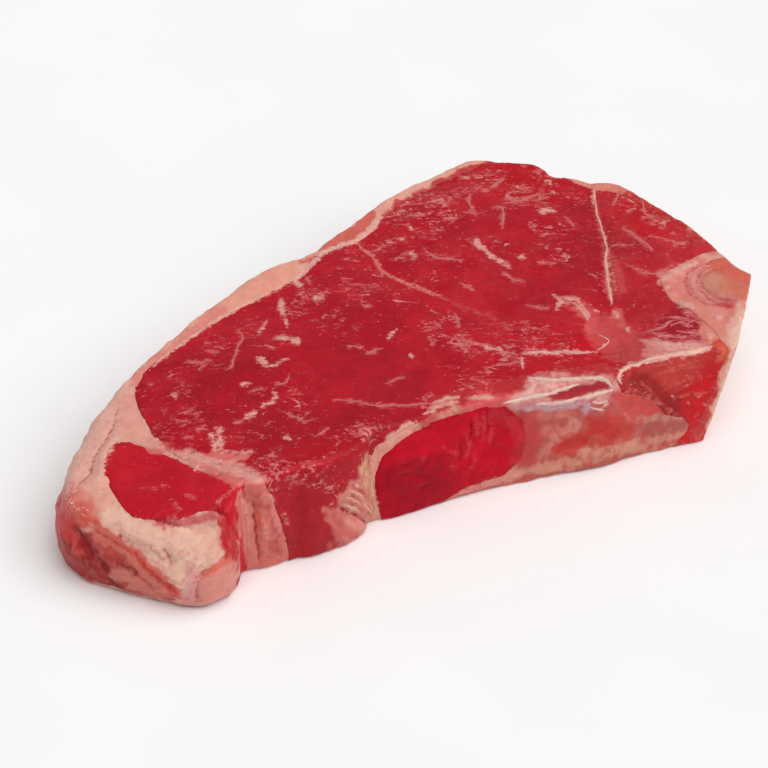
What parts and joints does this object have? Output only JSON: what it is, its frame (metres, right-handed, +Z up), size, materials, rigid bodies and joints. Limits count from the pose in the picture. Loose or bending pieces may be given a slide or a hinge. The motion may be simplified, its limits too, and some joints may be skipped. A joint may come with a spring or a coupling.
{
  "type": "raw bone-in strip steak",
  "caption": "Thick raw beef loin steak lying flat: red muscles with marbling, a pale fat rim and folded fat tail, and a sawn bone along one side.",
  "frame": {"origin": "middle of the bounding box in plan, on the flat underside", "axes": "+X along the length from the fat tail to the sawn chine end, +Y from the bone side to the fat back, +Z up through the thickness"},
  "size_m": [0.2176, 0.1222, 0.034],
  "materials": {
    "lean": "raw lean beef, moist",
    "tail_lean": "raw lean beef, moist",
    "fat": "soft beef fat, satin",
    "bone": "sawn bone, damp",
    "marrow": "red marrow, wet",
    "cartilage": "cartilage, glossy",
    "gristle": "gristle and fat, satin"
  },
  "bodies": {
    "root": {"eye_muscle": "lean", "gluteal_muscle": "lean", "spinal_muscle": "lean", "tail_muscle": "tail_lean", "fat_cap": "fat", "edge_fat": "fat", "loin_bone": "bone", "bone_marrow": "marrow", "spinous_bone": "bone", "chine_cartilage": "cartilage", "gristle": "gristle"}
  },
  "joints": []
}
